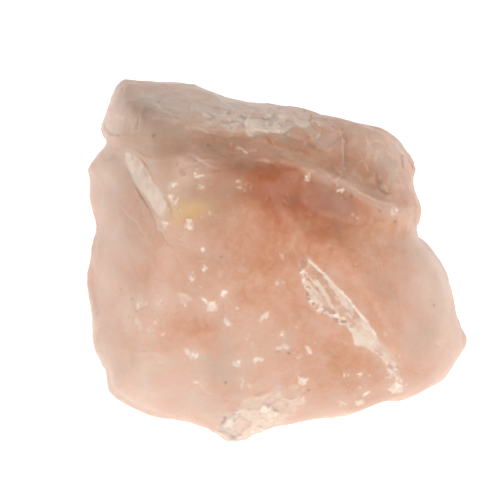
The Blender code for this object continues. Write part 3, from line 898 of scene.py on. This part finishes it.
def carve(mesh):
    """Moves the fine mesh's points into the stone's surface, and stores the masks the material reads."""
    skin = Skin(mesh)
    for work in (soften, waves, upper_band, ledge, fracture_steps, pale_leaf, creases, specks,
                 broken_corner, face_chips, strewn_chips, splinter_scar, press):
        work(skin)
    richness = skin.richness + THICK_RICHNESS * (1.0 - np.exp(-quartz_behind(skin) / THICK_QUARTZ))
    u = skin.u + 1.5 * skin.warp[:, 0] + 0.8 * skin.ragged
    v = skin.v + 1.5 * skin.warp[:, 1] - 0.5 * skin.ragged + 0.4 * skin.rough
    top_edge = smooth_step((skin.v - TOP_EDGE) / 4.0)
    masks = {
        # Richness, partly painted shade in the hollow under the ledge.
        "richness": richness + skin.front * blobs(u, v, RICHER),
        # Painted glints.
        "bright": skin.bright,
        "frost": skin.frost,
        # Worn white edges with a painted highlight, kept mostly near the top edge on the face.
        "worn_and_highlit": worn_and_highlit_edges(skin) * (1.0 - 0.6 * skin.front * (1.0 - top_edge)),
        # Dark cracks and marks, with the painted shadows in the hollow and the brown blotches on the
        # face.
        "dark": np.maximum(skin.dark, skin.front * blobs(u, v, SHADOWS_AND_BLOTCHES)),
        # Grey smudges, partly painted shade.
        "smudge_and_shade": np.clip(skin.front * blobs(u, v, SMUDGES_AND_SHADE), 0.0, 1.0),
        # Painted brownish shade, partly a brown tint.
        "shade": np.clip(skin.front * blobs(u, v, SHADES), 0.0, 1.0),
        "stain": np.clip(skin.front * blobs(u, v, STAINS), 0.0, 1.0),
    }
    for name, values in masks.items():
        attribute = mesh.attributes.new(name, "FLOAT", "POINT")
        attribute.data.foreach_set("value", values.astype(np.float32))


class Nodes:
    """Short ways to add a material's nodes. A noise's scale is in waves per metre."""

    def __init__(self, material):
        self.tree = material.node_tree
        self.tree.nodes.clear()

    def add(self, kind, **inputs):
        node = self.tree.nodes.new(kind)
        for name, value in inputs.items():
            socket = node.inputs[name.replace("_", " ")]
            if isinstance(value, bpy.types.NodeSocket):
                self.tree.links.new(value, socket)
            else:
                socket.default_value = value
        return node

    def mask(self, name):
        node = self.add("ShaderNodeAttribute")
        node.attribute_name = name
        return node.outputs["Fac"]

    def maths(self, operation, first, second=0.0, third=0.0):
        node = self.tree.nodes.new("ShaderNodeMath")
        node.operation = operation
        for socket, value in zip(node.inputs, (first, second, third)):
            if isinstance(value, bpy.types.NodeSocket):
                self.tree.links.new(value, socket)
            else:
                socket.default_value = value
        return node.outputs["Value"]

    def noise(self, place, scale, detail=3.0, roughness=0.5, distortion=0.0):
        node = self.add("ShaderNodeTexNoise", Vector=place, Scale=scale, Detail=detail,
                        Roughness=roughness, Distortion=distortion)
        return node.outputs["Fac"]

    def between(self, value, low, high, new_low=0.0, new_high=1.0):
        node = self.add("ShaderNodeMapRange")
        node.interpolation_type = "SMOOTHSTEP"
        self.tree.links.new(value, node.inputs["Value"])
        node.inputs["From Min"].default_value = low
        node.inputs["From Max"].default_value = high
        node.inputs["To Min"].default_value = new_low
        node.inputs["To Max"].default_value = new_high
        return node.outputs["Result"]

    def blend(self, share, first, second):
        node = self.tree.nodes.new("ShaderNodeMix")
        node.data_type = "RGBA"
        for index, value in ((0, share), (6, first), (7, second)):
            if isinstance(value, bpy.types.NodeSocket):
                self.tree.links.new(value, node.inputs[index])
            else:
                node.inputs[index].default_value = value
        return node.outputs[2]


def cloudy_quartz(nodes, place):
    """The quartz's own colour from how rich it is, with its clouds and veils."""
    clouds = nodes.noise(place, 130.0, 4.0, 0.55, 0.6)
    veils = nodes.noise(place, 420.0, 3.0, 0.6, 1.2)
    rich = nodes.maths("MULTIPLY_ADD", clouds, 0.55, nodes.mask("richness"))
    rich = nodes.maths("SUBTRACT", rich, 0.275)
    rich = nodes.maths("MULTIPLY_ADD", veils, 0.26, nodes.maths("SUBTRACT", rich, 0.13))
    mottle = nodes.noise(place, 1300.0, 3.0, 0.6, 0.8)
    rich = nodes.maths("MULTIPLY_ADD", mottle, 0.16, nodes.maths("SUBTRACT", rich, 0.08))
    ramp = nodes.add("ShaderNodeValToRGB", Fac=nodes.maths("MULTIPLY", rich, 0.8))
    ramp.color_ramp.elements[0].position, ramp.color_ramp.elements[0].color = QUARTZ_STOPS[0]
    ramp.color_ramp.elements[1].position, ramp.color_ramp.elements[1].color = QUARTZ_STOPS[-1]
    for position, value in QUARTZ_STOPS[1:-1]:
        ramp.color_ramp.elements.new(position).color = value
    body = ramp.outputs["Color"]

    haze = nodes.noise(place, 230.0, 4.0, 0.6, 1.0)
    thin = nodes.between(rich, 0.55, 1.0, 1.0, 0.15)
    hazy = nodes.maths("MULTIPLY", nodes.between(haze, 0.48, 0.68, 0.0, 0.36), thin)
    body = nodes.blend(hazy, body, HAZE)
    blush = nodes.noise(place, 160.0, 3.0, 0.5, 0.5)
    flushed = nodes.maths("MULTIPLY", nodes.between(blush, 0.45, 0.65, 0.0, 0.32), thin)
    return nodes.blend(flushed, body, BLUSH), clouds, veils


def stained(nodes, body, clouds):
    """The colour with its grey smudges and brown shade, both partly painted shade, and its yellow stains.
    """
    # Grey smudges, partly painted shade along the lip.
    body = nodes.blend(nodes.mask("smudge_and_shade"), body, SMUDGE_AND_SHADE)
    # Painted brownish shade, broken up by the clouds.
    shade = nodes.maths("MULTIPLY", nodes.mask("shade"), nodes.between(clouds, 0.3, 0.6, 0.6, 1.0))
    body = nodes.blend(shade, body, SHADE)
    return nodes.blend(nodes.mask("stain"), body, STAIN)


def broken_white(nodes, place, body, veils):
    """The colour with its frost, painted glints, worn edges with a painted highlight, and dark cracks and
    marks that are partly painted shade, and how frosted it is.
    """
    broken = nodes.noise(place, 1500.0, 3.0, 0.6)
    ragged = nodes.maths("MULTIPLY_ADD", broken, 0.9, nodes.maths("SUBTRACT", nodes.mask("frost"), 0.45))
    strength = nodes.between(nodes.mask("frost"), 0.0, 0.9, 0.2, 0.95)
    frost = nodes.maths("MULTIPLY", nodes.between(ragged, 0.0, 0.70), strength)
    body = nodes.blend(frost, body, FROST)
    # Painted glints: highlights laid into the colour.
    bright = nodes.maths("MULTIPLY", nodes.mask("bright"), nodes.between(broken, 0.35, 0.5, 0.3, 1.0))
    body = nodes.blend(bright, body, GLINT)
    # Worn edges with a painted highlight along them.
    worn_and_highlit = nodes.maths("MULTIPLY", nodes.mask("worn_and_highlit"), nodes.between(veils, 0.35, 0.65, 0.15, 0.8))
    body = nodes.blend(worn_and_highlit, body, WORN_AND_HIGHLIT)
    return nodes.blend(nodes.mask("dark"), body, DARK), frost


def fine_bumps(nodes, place, frost):
    """A faint grain everywhere, and grit where the quartz is frosted."""
    grain = nodes.noise(place, 420.0, 3.0, 0.5)
    grit = nodes.noise(place, 5200.0, 3.0, 0.6)
    fine = nodes.add("ShaderNodeBump", Strength=0.35, Distance=0.15 * MM, Height=grain)
    rough = nodes.add("ShaderNodeBump", Distance=0.12 * MM, Height=grit, Strength=frost)
    nodes.tree.links.new(fine.outputs["Normal"], rough.inputs["Normal"])
    return rough.outputs["Normal"]


def quartz_material():
    """Cloudy rose quartz: pale where thin, orange-pink where thick, frosted white where broken."""
    material = bpy.data.materials.new("rose_quartz")
    material.use_nodes = True
    nodes = Nodes(material)
    place = nodes.add("ShaderNodeTexCoord").outputs["Object"]

    body, clouds, veils = cloudy_quartz(nodes, place)
    body = stained(nodes, body, clouds)
    body, frost = broken_white(nodes, place, body, veils)
    glaze = nodes.between(nodes.noise(place, 900.0, 4.0, 0.6), 0.3, 0.7, 0.34, 0.48)
    roughness = nodes.maths("MULTIPLY_ADD", frost, 0.30, glaze)
    shader = nodes.add(
        "ShaderNodeBsdfPrincipled",
        Base_Color=body,
        Roughness=roughness,
        IOR=1.54,
        Normal=fine_bumps(nodes, place, frost),
        Subsurface_Weight=nodes.maths("MULTIPLY_ADD", frost, -0.45, 0.75),
        Subsurface_Radius=(1.0, 0.45, 0.30),
        Subsurface_Scale=3.0 * MM,
    )
    shader.subsurface_method = "RANDOM_WALK"
    output = nodes.add("ShaderNodeOutputMaterial")
    nodes.tree.links.new(shader.outputs["BSDF"], output.inputs["Surface"])
    return material


def floor():
    shape = bmesh.new()
    bmesh.ops.create_grid(shape, x_segments=1, y_segments=1, size=FLOOR_REACH)
    mesh = bpy.data.meshes.new("floor")
    shape.to_mesh(mesh)
    shape.free()
    ground = bpy.data.objects.new("floor", mesh)
    bpy.context.scene.collection.objects.link(ground)
    material = bpy.data.materials.new("floor")
    material.use_nodes = True
    shader = material.node_tree.nodes["Principled BSDF"]
    shader.inputs["Base Color"].default_value = FLOOR_COLOUR
    shader.inputs["Roughness"].default_value = 0.9
    shader.inputs["Specular IOR Level"].default_value = 0.1
    shader.inputs["Emission Color"].default_value = WHITE
    shader.inputs["Emission Strength"].default_value = FLOOR_GLOW
    mesh.materials.append(material)


def soft_light(name, place, size, watts):
    """A white disk of this size that lights the stone."""
    lamp = bpy.data.lights.new(name, "AREA")
    lamp.shape = "DISK"
    lamp.size = size
    lamp.energy = watts
    holder = bpy.data.objects.new(name, lamp)
    bpy.context.scene.collection.objects.link(holder)
    holder.location = place
    holder.rotation_euler = (Vector(place) - Vector(LIGHT_AIM)).to_track_quat("Z", "Y").to_euler()


def studio():
    """A white surround, a soft key light from the front left and a soft fill from the front right."""
    world = bpy.data.worlds.new("studio")
    bpy.context.scene.world = world
    world.use_nodes = True
    background = world.node_tree.nodes["Background"]
    background.inputs["Color"].default_value = WHITE
    background.inputs["Strength"].default_value = SURROUND
    soft_light("key", (-0.36, -0.36, 0.48), size=0.45, watts=1.55)
    soft_light("fill", (0.46, -0.30, 0.42), size=0.5, watts=1.8)
    bpy.context.scene.view_settings.view_transform = "Standard"


def camera():
    """A long lens square to the broad face, with the stone a little right of and below the middle."""
    distance = SEEN_WIDTH * LENS / SENSOR
    across = Vector((1.0, 0.0, 0.0))
    up = Vector(UP_THE_FACE)
    back = Vector(OUT_OF_FACE)
    aim = Vector(AIM)
    place = Vector((0.0, 0.0, FACE_START)) + across * aim.x + up * aim.y + back * distance
    view = bpy.data.cameras.new("camera")
    view.lens = LENS
    view.sensor_width = SENSOR
    view.clip_start = 0.01
    holder = bpy.data.objects.new("camera", view)
    bpy.context.scene.collection.objects.link(holder)
    turned = Matrix((across, up, back)).transposed().to_4x4()
    holder.matrix_world = Matrix.Translation(place * MM) @ turned
    bpy.context.scene.camera = holder


camera()
studio()
floor()

stone_mesh = fine_mesh(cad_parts[NODE])
carve(stone_mesh)
stone_mesh.shade_smooth()
stone_mesh.materials.append(quartz_material())
stone = bpy.data.objects.new("quartz_stone", stone_mesh)
bpy.context.scene.collection.objects.link(stone)
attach(stone, "root")
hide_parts(NODE)
